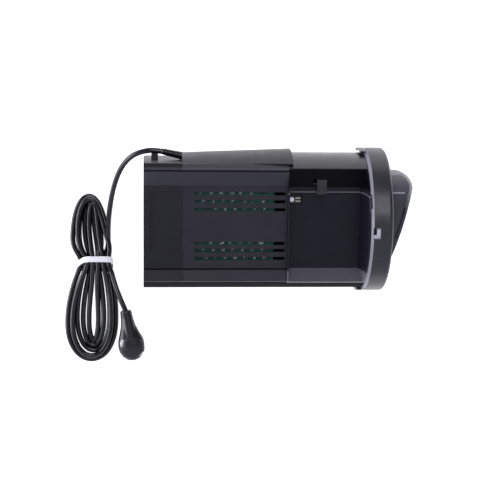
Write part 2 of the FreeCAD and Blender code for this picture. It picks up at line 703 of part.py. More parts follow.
def rounded_outline(points, z):
    """A closed outline whose corners are arcs."""
    points = [V(x, y, z) for x, y in points]
    count = len(points)
    arcs = []
    for i in range(count):
        corner = points[i]
        run_in, run_out = corner - points[i - 1], points[(i + 1) % count] - corner
        reach = 0.45 * min(run_in.Length, run_out.Length)
        half_turn = run_in.getAngle(run_out) / 2
        a = corner - V(run_in).normalize() * reach
        b = corner + V(run_out).normalize() * reach
        if half_turn < 0.01:
            arcs.append((a, None, b))
            continue
        radius = reach / math.tan(half_turn)
        inward = ((a + b) * 0.5 - corner).normalize()
        arcs.append((a, corner + inward * (math.hypot(radius, reach) - radius), b))
    edges = []
    for i, (a, middle, b) in enumerate(arcs):
        edges.append((Part.Arc(a, middle, b) if middle else Part.LineSegment(a, b)).toShape())
        edges.append(Part.LineSegment(b, arcs[(i + 1) % count][0]).toShape())
    return Part.Face(Part.Wire(edges))


def cord_hank():
    hank = rounded_outline(HANK_OUTLINE, 0.0).extrude(V(0, 0, HANK_H))
    under_tie = box(-300, -200, TIE_Y[0], TIE_Y[1], -1, HANK_LIFT)
    return hank.cut(under_tie)


def cord_tie():
    """A flat band round the waist of the hank, leaning so that its top is nearer the pump."""
    x0, x1 = -265.2, -222.8
    lean = V(0, TIE_Y[1] - TIE_W - TIE_Y[0], 0)
    y0 = TIE_Y[0]
    top, bottom = HANK_H + TIE_T, 0.0
    shift = lean * (1.0 / (top - bottom))

    def slab(xa, xb, za, zb):
        corners = [V(xa, y0, za) + shift * za, V(xa, y0 + TIE_W, za) + shift * za,
                   V(xa, y0 + TIE_W, zb) + shift * zb, V(xa, y0, zb) + shift * zb]
        return Part.Face(Part.makePolygon(corners + corners[:1])).extrude(V(xb - xa, 0, 0))

    outer = slab(x0 - TIE_T, x1 + TIE_T, bottom, top)
    return outer.cut(slab(x0, x1, HANK_LIFT - 0.1, HANK_H + 0.1))


def plug_place(shape):
    """From the plug's own frame, pins along -Z and in line along X, to where it lies, rolled over its neck."""
    shape.rotate(V(0, 0, 0), V(1, 0, 0), -PLUG_TILT)
    shape.rotate(V(0, 0, 0), V(0, 0, 1), PLUG_TURN)
    shape.rotate(V(0, 0, 0), plug_direction(PLUG_TURN + NECK_ANGLE), PLUG_ROLL)
    shape.translate(PLUG_FACE)
    return shape


def plug_direction(angle):
    return V(math.cos(math.radians(angle)), math.sin(math.radians(angle)), 0)


def plug_body():
    disc = Part.makeCylinder(PLUG_R, PLUG_RIM).fuse(
        Part.makeCone(PLUG_R, PLUG_BACK_R, PLUG_DEPTH - PLUG_RIM, V(0, 0, PLUG_RIM)))
    back = [e for e in disc.Edges if e.BoundBox.ZMin > PLUG_DEPTH - 0.1]
    disc = disc.makeFillet(5.0, back)
    out = plug_direction(NECK_ANGLE)
    neck = Part.makeCone(*NECK_R, 40.0, V(0, 0, 10.0) + out * 8.0, out)
    body = disc.fuse(neck).cut(fuse(clip_notches()))
    return plug_place(body.cut(Part.makeCompound(pin_cylinders())))


def clip_notches():
    """A notch down each flank, one on each side of the pins, for the earth contacts."""
    return [flank_strip(side, CLIP_W + 0.8, 3.2) for side in (-1, 1)]


def flank_strip(side, width, depth):
    """A strip of the flank's outer layer, as deep as depth, from the face to near the back."""
    slope = (PLUG_R - PLUG_BACK_R) / (PLUG_DEPTH - PLUG_RIM)
    corners = [(PLUG_R + 0.5, -1.0), (PLUG_R + 0.5, PLUG_RIM), (PLUG_R + 0.5 - slope * 10.0, PLUG_RIM + 10.0),
               (PLUG_R - depth - slope * 10.0, PLUG_RIM + 10.0), (PLUG_R - depth, PLUG_RIM),
               (PLUG_R - depth, -1.0)]
    points = [V(-width / 2, side * r, z) for r, z in corners]
    return Part.Face(Part.makePolygon(points + points[:1])).extrude(V(width, 0, 0))


def pin_cylinders():
    pins = []
    for side in (-1, 1):
        pin = Part.makeCylinder(PIN_R, PIN_LENGTH + 6.0, V(side * 9.5, 0, -PIN_LENGTH))
        tip = [e for e in pin.Edges if e.BoundBox.ZMax < -PIN_LENGTH + 0.01]
        pins.append(pin.makeFillet(1.2, tip))
    return pins


def plug_pins():
    return plug_place(Part.makeCompound(pin_cylinders()))


def plug_earth_clips():
    clips = []
    for side in (-1, 1):
        strip = flank_strip(side, CLIP_W, 3.2).cut(flank_strip(side, CLIP_W + 1.0, 1.2))
        clips.append(strip.common(Part.makeCylinder(PLUG_R, PLUG_DEPTH, V(0, 0, 0.4))))
    return plug_place(Part.makeCompound(clips))


def main():
    os.makedirs("parts", exist_ok=True)
    shapes = {
        "rear_shell": rear_shell(), "end_cap": end_cap(), "cap_screws": cap_screws(), "side_cover": side_cover(),
        "front_housing": front_housing(), "case_bosses": case_bosses(), "case_screws": case_screws(),
        "housing_seal": housing_seal(), "intake_grille": intake_grille(),
        "contact_block": contact_block(), "contact_screw": contact_screw(), "contact_strips": contact_strips(),
        "rear_foot": feet(0), "front_foot": feet(1), "foot_pads": foot_pads(),
        "bayonet_lugs": bayonet_lugs(), "lock_ring": lock_ring(), "seal_ring": seal_ring(),
        "outlet_nozzle": outlet_nozzle(), "outlet_grille": outlet_grille(),
        "motor_case": motor_case(), "motor_cover": motor_cover(), "rotor_can": rotor_can(),
        "stator_core": stator_core(), "stator_windings": stator_windings(),
        "rear_bush": bush(18.0, 25.0), "front_bush": bush(96.0, 103.5),
        "rotor_shaft": rotor_shaft(), "rotor_magnet": rotor_magnet(),
        "impeller": impeller(), "impeller_nut": impeller_nut(),
        "wire_grommet": wire_grommet(), "motor_leads": motor_leads(),
        "circuit_board": circuit_board(), "board_screws": board_screws(), "board_chips": board_chips(),
        "capacitors": capacitors(), "transformer": transformer(),
        "terminal_block": terminal_block(), "board_cable": board_cable(),
        "latch_tab": latch_tab(), "latch_spring": latch_spring(),
        "cord_clip": cord_clip(), "cable_gland": cable_gland(), "inner_lead": inner_lead(),
        "cord_lead": cord_tube("cord_lead", LEAD_ROUTE, CORD_R), "cord_hank": cord_hank(),
        "cord_tail": cord_tube("cord_tail", TAIL_ROUTE, CORD_R), "cord_tie": cord_tie(),
        "plug_body": plug_body(), "plug_pins": plug_pins(), "plug_earth_clips": plug_earth_clips(),
    }
    for name, shape in shapes.items():
        if not shape.isValid() or shape.Volume <= 0:
            print("bad shape:", name, shape.isValid(), shape.Volume)
        save(name, shape)


main()
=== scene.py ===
"""Looks of the wave maker pump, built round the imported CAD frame. Metres, in the CAD's own frame."""
import bmesh
import bpy
import json
import math
from mathutils import Matrix, Vector


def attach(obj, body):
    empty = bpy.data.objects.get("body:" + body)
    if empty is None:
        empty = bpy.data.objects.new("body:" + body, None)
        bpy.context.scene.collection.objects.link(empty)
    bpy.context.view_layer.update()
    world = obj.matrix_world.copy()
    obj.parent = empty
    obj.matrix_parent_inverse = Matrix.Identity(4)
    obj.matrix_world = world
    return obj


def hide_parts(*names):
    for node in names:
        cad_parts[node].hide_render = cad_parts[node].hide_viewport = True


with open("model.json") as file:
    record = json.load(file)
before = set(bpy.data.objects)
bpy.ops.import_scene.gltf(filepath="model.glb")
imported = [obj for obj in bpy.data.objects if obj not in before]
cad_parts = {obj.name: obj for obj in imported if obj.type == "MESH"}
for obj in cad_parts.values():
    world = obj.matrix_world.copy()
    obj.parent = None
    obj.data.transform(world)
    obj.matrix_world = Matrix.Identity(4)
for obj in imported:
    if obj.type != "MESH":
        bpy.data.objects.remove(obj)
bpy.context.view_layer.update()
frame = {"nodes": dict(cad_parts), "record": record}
NODES = frame["nodes"]

# Lengths are in metres, except in the routes and lists of the lead, the tie and the plug, which are in mm
MM = 0.001
AXIS_Z = 0.099
CORD_D = 0.0073
CORD_R = CORD_D / 2

# Camera, set from the body's axis: a point below the axis is in the middle of the view
CAMERA_DISTANCE = 1.8358
CAMERA_YAW = math.radians(4.4)
CAMERA_LEAN = math.radians(10.2)
CAMERA_AIM_X = -0.0369
CAMERA_AIM_DOWN = 0.0422
CAMERA_FOV = 2 * math.atan(25.0 / 137.0)


# ---------------------------------------------------------------- camera, lights and floor

def camera_axes():
    up = Vector((0, math.cos(CAMERA_LEAN), -math.sin(CAMERA_LEAN)))
    out = Vector((0, math.sin(CAMERA_LEAN), math.cos(CAMERA_LEAN)))
    right = Vector((math.cos(CAMERA_YAW), 0, 0)) + out * math.sin(CAMERA_YAW)
    back = out * math.cos(CAMERA_YAW) - Vector((math.sin(CAMERA_YAW), 0, 0))
    return right, up, back


def make_camera():
    right, up, back = camera_axes()
    data = bpy.data.cameras.new("camera")
    data.sensor_width = 36.0
    data.lens = 18.0 / math.tan(CAMERA_FOV / 2)
    data.dof.use_dof = False
    cam = bpy.data.objects.new("camera", data)
    bpy.context.scene.collection.objects.link(cam)
    aim = Vector((CAMERA_AIM_X, 0, AXIS_Z)) - up * CAMERA_AIM_DOWN
    cam.location = aim + back * CAMERA_DISTANCE
    cam.rotation_mode = "QUATERNION"
    cam.rotation_quaternion = Matrix((right, up, back)).transposed().to_quaternion()
    bpy.context.scene.camera = cam


def area_light(name, location, target, size, power, colour=(1, 1, 1)):
    data = bpy.data.lights.new(name, "AREA")
    data.shape = "RECTANGLE"
    data.size, data.size_y = size
    data.energy = power
    data.color = colour
    light = bpy.data.objects.new(name, data)
    light.location = location
    light.rotation_euler = (Vector(target) - Vector(location)).to_track_quat("-Z", "Y").to_euler()
    bpy.context.scene.collection.objects.link(light)


# The world's colour from its -Y side to its +Y side, and the table
ROOM_STOPS = [(0.38, (0.66, 0.66, 0.77)), (0.56, (0.13, 0.13, 0.16))]
FLOOR_HALF = 4.0
FLOOR_DROP = 0.0002
FLOOR_GLOW = 0.82


def make_studio():
    """A lit white table in a room brighter on the -Y side, a wide panel overhead and a low one behind."""
    world = bpy.data.worlds.new("studio")
    world.use_nodes = True
    tree = world.node_tree
    split = tree.nodes.new("ShaderNodeSeparateXYZ")
    tree.links.new(tree.nodes.new("ShaderNodeTexCoord").outputs["Generated"], split.inputs[0])
    spread = tree.nodes.new("ShaderNodeMapRange")
    spread.inputs["From Min"].default_value = -1.0
    tree.links.new(split.outputs["Y"], spread.inputs["Value"])
    room = ramp(tree, spread.outputs["Result"], ROOM_STOPS)
    tree.links.new(room, tree.nodes["Background"].inputs["Color"])
    bpy.context.scene.world = world
    bpy.context.scene.view_settings.view_transform = "Standard"
    area_light("panel_overhead", (0.0, 1.05, 1.9), (0, 0, 0.1), (1.6, 1.15), 27.0, (0.95, 0.93, 1))
    area_light("panel_rear", (-1.7, 0.05, 0.42), (-0.1, 0, 0.15), (1.5, 0.8), 24.0, (0.95, 0.94, 1))
    mesh = bpy.data.meshes.new("floor")
    corners = [(x * FLOOR_HALF, y * FLOOR_HALF, 0) for x, y in ((-1, -1), (1, -1), (1, 1), (-1, 1))]
    mesh.from_pydata(corners, [], [(0, 1, 2, 3)])
    floor = bpy.data.objects.new("floor", mesh)
    floor.location.z = -FLOOR_DROP
    bpy.context.scene.collection.objects.link(floor)
    material, tree, shader = new_material("floor_white")
    shader.inputs["Base Color"].default_value = (0.9, 0.9, 0.9, 1)
    shader.inputs["Roughness"].default_value = 0.7
    shader.inputs["Emission Color"].default_value = (1, 1, 1, 1)
    shader.inputs["Emission Strength"].default_value = FLOOR_GLOW
    mesh.materials.append(material)


# ---------------------------------------------------------------- materials

def new_material(name):
    material = bpy.data.materials.new(name)
    material.use_nodes = True
    tree = material.node_tree
    return material, tree, tree.nodes["Principled BSDF"]


def noise(tree, scale, detail=3.0, roughness=0.5, vector=None):
    node = tree.nodes.new("ShaderNodeTexNoise")
    node.inputs["Scale"].default_value = scale
    node.inputs["Detail"].default_value = detail
    node.inputs["Roughness"].default_value = roughness
    if vector is not None:
        tree.links.new(vector, node.inputs["Vector"])
    return node.outputs["Fac"]


def object_coordinates(tree):
    return tree.nodes.new("ShaderNodeTexCoord").outputs["Object"]


def ramp(tree, value, stops):
    node = tree.nodes.new("ShaderNodeValToRGB")
    tree.links.new(value, node.inputs["Fac"])
    elements = node.color_ramp.elements
    while len(elements) < len(stops):
        elements.new(0.5)
    for element, (place, colour) in zip(elements, stops):
        element.position = place
        element.color = (*colour, 1)
    return node.outputs["Color"]


def grey(v):
    return (v, v, v)


def bump(tree, shader, height, strength, distance, edge=0.0):
    node = tree.nodes.new("ShaderNodeBump")
    if edge:
        rounded = tree.nodes.new("ShaderNodeBevel")
        rounded.samples = 4
        rounded.inputs["Radius"].default_value = edge
        tree.links.new(rounded.outputs["Normal"], node.inputs["Normal"])
    node.inputs["Strength"].default_value = strength
    node.inputs["Distance"].default_value = distance
    tree.links.new(height, node.inputs["Height"])
    tree.links.new(node.outputs["Normal"], shader.inputs["Normal"])


def moulded_plastic(name, colour, rough=0.42, spread=0.06, grain=2600.0, grain_depth=0.00006, specular=0.45,
                    edge=0.0006):
    """Satin moulded plastic: slow mottling in colour and gloss, a fine spark-eroded grain, and softened edges."""
    material, tree, shader = new_material(name)
    place = object_coordinates(tree)
    mottling = noise(tree, 14.0, 4.0, 0.55, place)
    low = tuple(c * 0.86 for c in colour)
    high = tuple(c * 1.16 for c in colour)
    tree.links.new(ramp(tree, mottling, [(0.3, low), (0.7, high)]), shader.inputs["Base Color"])
    wear = noise(tree, 55.0, 5.0, 0.65, place)
    tree.links.new(ramp(tree, wear, [(0.3, grey(rough - spread)), (0.7, grey(rough + spread))]),
                   shader.inputs["Roughness"])
    bump(tree, shader, noise(tree, grain, 2.0, 0.5, place), 0.35, grain_depth, edge)
    shader.inputs["Specular IOR Level"].default_value = specular
    return material


def zone(tree, *tests):
    """1 where every test holds: (value, "GREATER_THAN" or "LESS_THAN", limit)."""
    result = None
    for value, operation, limit in tests:
        test = tree.nodes.new("ShaderNodeMath")
        test.operation = operation
        tree.links.new(value, test.inputs[0])
        test.inputs[1].default_value = limit
        if result is None:
            result = test.outputs[0]
        else:
            both = tree.nodes.new("ShaderNodeMath")
            both.operation = "MULTIPLY"
            tree.links.new(result, both.inputs[0])
            tree.links.new(test.outputs[0], both.inputs[1])
            result = both.outputs[0]
    return result


def tilted(tree, y, z, slope):
    """Height above a tilted line: z plus slope times y."""
    node = tree.nodes.new("ShaderNodeMath")
    node.operation = "MULTIPLY_ADD"
    tree.links.new(y, node.inputs[0])
    node.inputs[1].default_value = slope
    tree.links.new(z, node.inputs[2])
    return node.outputs[0]


def retouch(material, mask, colour=None, rough=None, specular=None):
    """Another colour, roughness or specular level where the mask is 1."""
    tree = material.node_tree
    shader = tree.nodes["Principled BSDF"]
    changes = [("Base Color", colour and (*colour, 1)), ("Roughness", rough and (*grey(rough), 1)),
               ("Specular IOR Level", specular is not None and (*grey(specular), 1))]
    for name, value in changes:
        if not value:
            continue
        socket = shader.inputs[name]
        mix = tree.nodes.new("ShaderNodeMix")
        mix.data_type = "RGBA"
        tree.links.new(mask, mix.inputs["Factor"])
        before, after = [i for i in mix.inputs if i.type == "RGBA"]
        if socket.is_linked:
            tree.links.new(socket.links[0].from_socket, before)
        else:
            level = socket.default_value
            before.default_value = tuple(level) if name == "Base Color" else (*grey(level), 1)
        after.default_value = value
        tree.links.new([o for o in mix.outputs if o.type == "RGBA"][0], socket)


def body_coordinates(tree):
    """Where a point of the surface is, in metres: x, y, z."""
    split = tree.nodes.new("ShaderNodeSeparateXYZ")
    tree.links.new(object_coordinates(tree), split.inputs[0])
    return split.outputs


def above(value, limit):
    return value, "GREATER_THAN", limit


def below(value, limit):
    return value, "LESS_THAN", limit


# The body's two troughs lie above these tilted lines, given by slope and height
TROUGH_LINES = [(-0.65, 0.1040), (1.3, 0.049)]


def inside_troughs(tree, y, z):
    return [above(tilted(tree, y, z, slope), height) for slope, height in TROUGH_LINES]


# Where the pocket's painted light and shade change: painted shade on its outer flank and high wall, painted light on
# its low wall, and a painted highlight along the ledge by the high wall
POCKET_FLANK_Y = -0.078
POCKET_LOW_WALL_Y = -0.0613
POCKET_HIGH_WALL_Y = 0.0475
POCKET_LEDGE_Y = (0.0398, 0.0420)


def paint_pocket_light_and_shade(front):
    """A lower specular level inside the pocket; painted shade on its outer flank and high wall, painted light on its
    low wall and a painted highlight on its ledge.
    """
    tree = front.node_tree
    _, y, z = body_coordinates(tree)
    inside = inside_troughs(tree, y, z)
    retouch(front, zone(tree, *inside), specular=0.2)
    # painted shade on the outer flank below, with a rougher, duller finish
    retouch(front, zone(tree, below(y, POCKET_FLANK_Y)), (0.004, 0.004, 0.005), 0.8, 0.06)
    # painted shade on the pocket's high wall
    retouch(front, zone(tree, *inside, above(y, POCKET_HIGH_WALL_Y)), (0.003, 0.003, 0.005), specular=0.06)
    # painted light on the pocket's low wall
    retouch(front, zone(tree, *inside, below(y, POCKET_LOW_WALL_Y)), (0.100, 0.098, 0.118), 0.4, 0.45)
    # painted highlight along the ledge
    ledge = zone(tree, *inside, above(y, POCKET_LEDGE_Y[0]), below(y, POCKET_LEDGE_Y[1]))
    retouch(front, ledge, (0.10, 0.10, 0.12), 0.4, 0.45)


# The same for the channel: its darker rear end and far rim, painted shade on its flanks, painted light on its far wall
# and painted shadow in the creases at the foot of its walls
CHANNEL_REAR_X = (-0.1790, -0.127)
CHANNEL_FLANK_Y = -0.076
CHANNEL_FAR_WALL_Y = 0.050
FAR_RIM_Y, FAR_RIM_X, FAR_RIM_Z = 0.0718, -0.129, 0.14
CREASES_Y = [(-0.0614, -0.0592), (0.0698, 0.0718)]
CREASES_Z = 0.14


def paint_channel_light_shade_and_tones(rear):
    """The channel's rear end and far rim are darker; painted shade on the rear shell's flank, painted light on the
    channel's far wall and painted shadow along its creases.
    """
    tree = rear.node_tree
    x, y, z = body_coordinates(tree)
    inside = inside_troughs(tree, y, z)
    rear_end = zone(tree, *inside, below(x, CHANNEL_REAR_X[1]), above(x, CHANNEL_REAR_X[0]))
    retouch(rear, rear_end, (0.010, 0.0095, 0.014))
    # painted shade on the outer flank below, with a rougher, duller finish
    retouch(rear, zone(tree, below(y, CHANNEL_FLANK_Y)), (0.006, 0.006, 0.008), 0.8, 0.06)
    far_rim = zone(tree, above(y, FAR_RIM_Y), below(x, FAR_RIM_X), above(z, FAR_RIM_Z))
    retouch(rear, far_rim, (0.006, 0.006, 0.008), 0.6, 0.12)
    # painted light on the channel's far wall
    retouch(rear, zone(tree, *inside, above(y, CHANNEL_FAR_WALL_Y)), (0.036, 0.035, 0.046))
    # painted shadow along the creases at the foot of the channel's walls
    for low, high in CREASES_Y:
        crease = zone(tree, above(y, low), below(y, high), above(z, CREASES_Z))
        retouch(rear, crease, (0.002, 0.002, 0.003), specular=0.05)


# where the painted highlight lies on the lock ring's rear chamfer
RING_CHAMFER_X = (0.1122, 0.1156)


def paint_ring_chamfer_highlight(ring):
    """A painted highlight on the chamfer round the rear of the lock ring."""
    tree = ring.node_tree
    x = body_coordinates(tree)["X"]
    chamfer = zone(tree, below(x, RING_CHAMFER_X[1]), above(x, RING_CHAMFER_X[0]))
    retouch(ring, chamfer, (0.16, 0.157, 0.195))


# Beyond the rib across its roof the hood's crown carries painted light, and the rib a painted highlight
HOOD_REAR_X = 0.1405
CROWN_Y = 0.0437
RIB_Y, RIB_END_X, RIB_Z = 0.0415, 0.1618, 0.15


def paint_hood_light(hood):
    """Painted light on the outlet hood's crown and a painted highlight on its rib."""
    tree = hood.node_tree
    x, y, z = body_coordinates(tree)
    # painted light on the hood's crown
    retouch(hood, zone(tree, above(y, CROWN_Y), above(x, HOOD_REAR_X)), (0.066, 0.065, 0.078))
    # painted highlight on the hood's rib
    rib = zone(tree, above(y, RIB_Y), below(y, CROWN_Y), above(x, HOOD_REAR_X), below(x, RIB_END_X), above(z, RIB_Z))
    retouch(hood, rib, (0.26, 0.255, 0.29))


def metal(name, colour, rough=0.25, scratch_scale=900.0):
    material, tree, shader = new_material(name)
    place = object_coordinates(tree)
    shader.inputs["Metallic"].default_value = 1.0
    tone = noise(tree, 120.0, 3.0, 0.5, place)
    dull = tuple(c * 0.85 for c in colour)
    tree.links.new(ramp(tree, tone, [(0.3, dull), (0.7, colour)]), shader.inputs["Base Color"])
    scratches = noise(tree, scratch_scale, 4.0, 0.7, place)
    tree.links.new(ramp(tree, scratches, [(0.35, grey(rough)), (0.65, grey(rough + 0.15))]),
                   shader.inputs["Roughness"])
    bump(tree, shader, scratches, 0.2, 0.00003)
    return material


def rubber(name, colour, rough=0.48):
    return moulded_plastic(name, colour, rough, 0.05, 1800.0, 0.00005, 0.5, 0.0)


CHIP_STOPS = [(0.0, (0.01, 0.01, 0.012)), (0.28, (0.75, 0.77, 0.77)), (0.40, (0.95, 0.95, 0.93)),
              (0.46, (0.01, 0.02, 0.02)), (0.75, (0.22, 0.30, 0.28)), (0.90, (0.60, 0.62, 0.63))]


def chip_material():
    """Every little part on the board has a tone of its own."""
    material, tree, shader = new_material("board_parts")
    island = tree.nodes.new("ShaderNodeNewGeometry").outputs["Random Per Island"]
    tree.links.new(ramp(tree, island, CHIP_STOPS), shader.inputs["Base Color"])
    shader.inputs["Roughness"].default_value = 0.35
    bump(tree, shader, noise(tree, 3000.0, 2.0, 0.5, object_coordinates(tree)), 0.3, 0.00004)
    return material


def board_material():
    """Green solder mask over darker copper tracks."""
    material, tree, shader = new_material("board_green")
    place = object_coordinates(tree)
    tracks = tree.nodes.new("ShaderNodeTexBrick")
    tree.links.new(place, tracks.inputs["Vector"])
    tracks.inputs["Scale"].default_value = 95.0
    tracks.inputs["Color1"].default_value = (0.004, 0.055, 0.038, 1)
    tracks.inputs["Color2"].default_value = (0.006, 0.10, 0.065, 1)
    tracks.inputs["Mortar"].default_value = (0.02, 0.26, 0.17, 1)
    tracks.inputs["Mortar Size"].default_value = 0.06
    tree.links.new(tracks.outputs["Color"], shader.inputs["Base Color"])
    shader.inputs["Roughness"].default_value = 0.3
    bump(tree, shader, tracks.outputs["Fac"], 0.3, 0.00006)
    return material


def dress_cad():
    """A finished material on every CAD node."""
    kinds = {
        "housing_black": moulded_plastic("housing_black", (0.018, 0.017, 0.024), 0.42, specular=0.26),
        "front_black": moulded_plastic("front_black", (0.010, 0.0095, 0.015), 0.30),
        "ring_black": moulded_plastic("ring_black", (0.020, 0.020, 0.025), 0.36),
        "nozzle_black": moulded_plastic("nozzle_black", (0.034, 0.034, 0.042), 0.40),
        "contact_black": moulded_plastic("contact_black", (0.004, 0.004, 0.005), 0.4),
        "lug_grey": moulded_plastic("lug_grey", (0.50, 0.51, 0.56), 0.45),
        "seal_rubber": rubber("seal_rubber", (0.012, 0.012, 0.013)),
        "pad_rubber": rubber("pad_rubber", (0.016, 0.016, 0.017), 0.6),
        "screw_steel": metal("screw_steel", (0.10, 0.10, 0.11), 0.4),
        "contact_steel": metal("contact_steel", (0.85, 0.85, 0.87), 0.18),
        "core_steel": metal("core_steel", (0.33, 0.34, 0.36), 0.4),
        "shaft_steel": metal("shaft_steel", (0.65, 0.66, 0.68), 0.15),
        "magnet_grey": moulded_plastic("magnet_grey", (0.05, 0.05, 0.055), 0.5),
        "bush_ceramic": moulded_plastic("bush_ceramic", (0.75, 0.74, 0.7), 0.2),
        "winding_copper": metal("winding_copper", (0.62, 0.26, 0.10), 0.3),
        "motor_plastic": moulded_plastic("motor_plastic", (0.03, 0.03, 0.033), 0.5),
        "impeller_plastic": moulded_plastic("impeller_plastic", (0.03, 0.032, 0.037), 0.4),
        "board_green": board_material(),
        "chip_mixed": chip_material(),
        "capacitor_sleeve": moulded_plastic("capacitor_sleeve", (0.01, 0.014, 0.04), 0.3),
        "lead_insulation": moulded_plastic("lead_insulation", (0.22, 0.05, 0.04), 0.4),
        "cord_rubber": rubber("cord_rubber", (0.0045, 0.0045, 0.0062), 0.21),
        "tie_white": moulded_plastic("tie_white", (0.82, 0.83, 0.86), 0.5),
        "plug_rubber": rubber("plug_rubber", (0.011, 0.011, 0.013), 0.30),
        "plug_metal": metal("plug_metal", (0.85, 0.85, 0.86), 0.16),
    }
    paint_channel_light_shade_and_tones(kinds["housing_black"])
    paint_pocket_light_and_shade(kinds["front_black"])
    paint_ring_chamfer_highlight(kinds["ring_black"])
    paint_hood_light(kinds["nozzle_black"])
    own = {
        "latch_tab": moulded_plastic("latch_black", (0.018, 0.018, 0.021), 0.4),
        "contact_strips": metal("strip_metal", (0.40, 0.37, 0.33), 0.35),
        "cord_clip": kinds["contact_black"],
    }
    for entry in frame["record"]["subparts"]:
        mesh = NODES[entry["node"]].data
        material = own.get(entry["node"], kinds[entry["material_slot"]])
        if mesh.materials:
            for i in range(len(mesh.materials)):
                mesh.materials[i] = material
        else:
            mesh.materials.append(material)
    return kinds


# ---------------------------------------------------------------- mains lead

# The lead's route in millimetres, down from the housing, and up from the hank into the plug
LEAD_ROUTE = [
    (-146.5, 88.1, 99.0), (-163.5, 91.6, 99.0), (-181.0, 89.4, 95.2), (-197.5, 81.0, 87.0),
    (-210.5, 63.0, 71.5), (-219.5, 37.5, 51.5), (-225.0, 8.5, 31.0), (-228.2, -20.0, 16.5),
    (-228.6, -45.0, 9.0),
]
TAIL_ROUTE = [
    (-224.2, -89.0, 12.0), (-221.0, -101.0, 15.0), (-216.3, -114.5, 19.5), (-210.4, -128.5, 24.0),
    (-204.3, -142.0, 26.3), (-203.2, -146.5, 26.6),
]
TIE_MID_Y = -76.0
FLOOR_LAYER = 3.65
UPPER_LAYER = 10.2
TIE_LOW = 5.2
TIE_HIGH = 11.9

# The hank's five turns. Each lobe: left, right and tip, height of its line, and how far towards its tip it is widest.
# Up and down: where the turn passes the tie after its lower and its upper lobe.
TURNS = [
    dict(lower=(-287.6, -218.0, -220.0, FLOOR_LAYER, 0.8), up=(-266.7, TIE_LOW),
         upper=(-277.0, -233.0, 18.0, FLOOR_LAYER, -0.1), down=(-235.5, TIE_LOW)),
    dict(lower=(-273.6, -226.6, -206.6, FLOOR_LAYER, 0.85), up=(-259.4, TIE_LOW),
         upper=(-269.4, -240.6, 10.6, FLOOR_LAYER, 0.1), down=(-242.9, TIE_LOW)),
    dict(lower=(-265.2, -234.8, -199.2, FLOOR_LAYER, 1.1), up=(-252.1, TIE_LOW),
         upper=(-262.0, -248.0, 3.0, FLOOR_LAYER, 0.2), down=(-242.9, TIE_HIGH)),
    dict(lower=(-256.5, -242.8, -191.6, FLOOR_LAYER, 1.9), up=(-250.2, TIE_HIGH),
         upper=(-255.4, -243.5, 8.5, UPPER_LAYER, 0.6), down=(-235.6, TIE_HIGH)),
    dict(lower=(-280.3, -224.6, -213.4, UPPER_LAYER, 0.8), up=(-257.5, TIE_HIGH),
         upper=(-271.5, -236.0, 15.0, UPPER_LAYER, -0.1), down=(-228.3, TIE_HIGH)),
]
LEAD_TIE = (-228.1, TIE_LOW)
TIE_HOLD = 4.5
LOBE_STEPS = 12


def lobe(start, end, left, right, tip_y, height, sharpness, side):
    """Points round one lobe of a turn, from the tie at start, round its tip, back to the tie at end."""
    middle, half_width = (left + right) / 2, (right - left) / 2
    widest = max(math.sin(a / 50) * math.sin(a / 100) ** sharpness for a in range(1, 157))  # over half a turn
    points = []
    for i in range(2, LOBE_STEPS - 1):
        turn = 2 * math.pi * i / LOBE_STEPS
        along = (1 - math.cos(turn)) / 2
        near_tie = max(0.0, 1 - 1.7 * along)
        share = i / LOBE_STEPS
        tie_x = start[0] * (1 - share) + end[0] * share
        tie_z = start[1] * (1 - share) + end[1] * share
        out = side * math.sin(turn) * math.sin(turn / 2) ** sharpness / widest
        points.append((tie_x * near_tie + middle * (1 - near_tie) + half_width * out,
                       TIE_MID_Y + (tip_y - TIE_MID_Y) * along,
                       tie_z * near_tie + height * (1 - near_tie)))
    return points


def through_tie(place, heading):
    """Two points straight through the tie, towards the upper lobe for a heading of 1."""
    return [(place[0], TIE_MID_Y + step * heading * TIE_HOLD, place[1]) for step in (-1, 1)]


def hank_points():
    points = through_tie(LEAD_TIE, -1)
    start = LEAD_TIE
    for turn in TURNS:
        for far, end, side in (("lower", turn["up"], 1), ("upper", turn["down"], -1)):
            points += lobe(start, end, *turn[far], side)
            points += through_tie(end, side)
            start = end
    return points


def spline_curve(name, points, radius):
    curve = bpy.data.curves.new(name, "CURVE")
    curve.dimensions = "3D"
    spline = curve.splines.new("NURBS")
    spline.points.add(len(points) - 1)
    for point, place in zip(spline.points, points):
        point.co = (place[0] * MM, place[1] * MM, place[2] * MM, 1)
    spline.order_u = 3
    spline.use_endpoint_u = True
    spline.resolution_u = 8
    curve.bevel_depth = radius
    curve.bevel_resolution = 6
    curve.use_fill_caps = True
    piece = bpy.data.objects.new(name, curve)
    bpy.context.scene.collection.objects.link(piece)
    return piece


def lathe(bm, base, axis, profile, steps=40):
    """Adds a closed turned shape: profile is (distance along the axis, radius) from base, all in metres."""
    axis = axis.normalized()
    side = axis.orthogonal().normalized()
    other = axis.cross(side)
    rings = []
    for along, radius in profile:
        rings.append([bm.verts.new(base + axis * along + (side * math.cos(a) + other * math.sin(a)) * radius)
                      for a in [2 * math.pi * i / steps for i in range(steps)]])
    for ring, following in zip(rings, rings[1:]):
        for i in range(steps):
            j = (i + 1) % steps
            bm.faces.new((ring[i], ring[j], following[j], following[i]))
    bm.faces.new(list(reversed(rings[0])))
    bm.faces.new(rings[-1])


def piece_from(bm, name, material):
    mesh = bpy.data.meshes.new(name)
    bmesh.ops.recalc_face_normals(bm, faces=bm.faces)
    bm.to_mesh(mesh)
    bm.free()
    mesh.materials.append(material)
    for polygon in mesh.polygons:
        polygon.use_smooth = True
    piece = bpy.data.objects.new(name, mesh)
    bpy.context.scene.collection.objects.link(piece)
    return piece


BOOT_BASE = Vector((-0.1268, 0.0836, AXIS_Z))
BOOT_TIP = Vector((-0.1552, 0.0899, AXIS_Z))
BOOT_RADIUS, BOOT_TAPER, BOOT_GROOVE = 0.0052, 0.00095, 0.0004
BOOT_RIBS = 6


